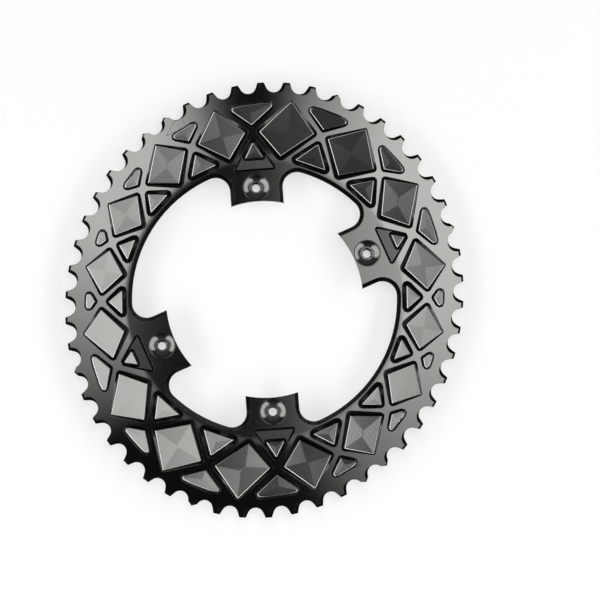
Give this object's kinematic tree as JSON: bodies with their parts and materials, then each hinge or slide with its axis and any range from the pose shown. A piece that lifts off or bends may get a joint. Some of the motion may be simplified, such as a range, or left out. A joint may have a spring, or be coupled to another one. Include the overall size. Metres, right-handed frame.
{
  "type": "bicycle chainring",
  "caption": "Oval toothed plate that drives a bicycle chain, with milled pockets between slanting ribs and hollow bolts in its mounting tabs.",
  "frame": {"origin": "centre of the bolt pattern, on the flat back of the ring and its tabs", "axes": "+Z out of the front face, +X along the short side of the bolt rectangle, +Y along its long side"},
  "size_m": [0.196, 0.2126, 0.0128],
  "materials": {
    "ring": "satin black anodised",
    "bolts": "black anodised, turned",
    "pins": "ground"
  },
  "bodies": {
    "root": {"chainring": "ring", "chainring_bolts": "bolts"}
  },
  "joints": []
}
